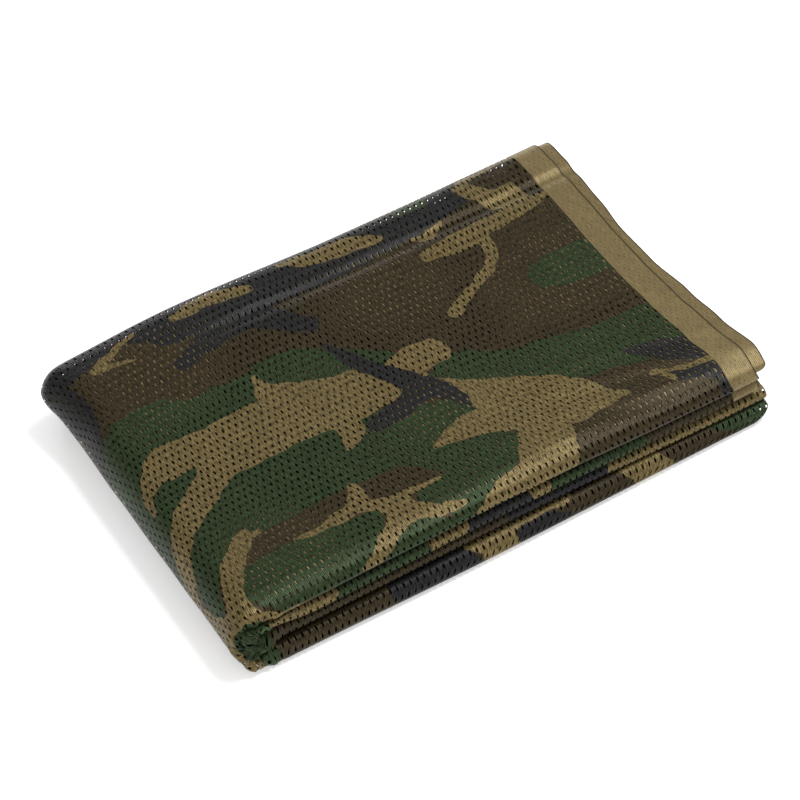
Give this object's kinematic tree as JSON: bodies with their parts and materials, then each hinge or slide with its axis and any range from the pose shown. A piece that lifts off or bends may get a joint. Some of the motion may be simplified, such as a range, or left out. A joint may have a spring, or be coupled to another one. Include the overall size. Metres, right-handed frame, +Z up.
{
  "type": "camouflage net",
  "caption": "Printed mesh cloth, folded back and forth and then over one end into a flat soft pack with its selvedges together.",
  "frame": {"origin": "middle of the folded pack's box in plan, on the surface that it lies on", "axes": "+X along the pack, from its folded end to its selvedges; +Y from the rolls along the front to the back; +Z up"},
  "size_m": [0.376, 0.2428, 0.0484],
  "materials": {
    "printed_mesh": "warp-knitted polyester mesh with small oval holes, printed in sand, green, brown and black patches, matt with a faint sheen"
  },
  "bodies": {
    "root": {"net": "printed_mesh"}
  },
  "joints": []
}
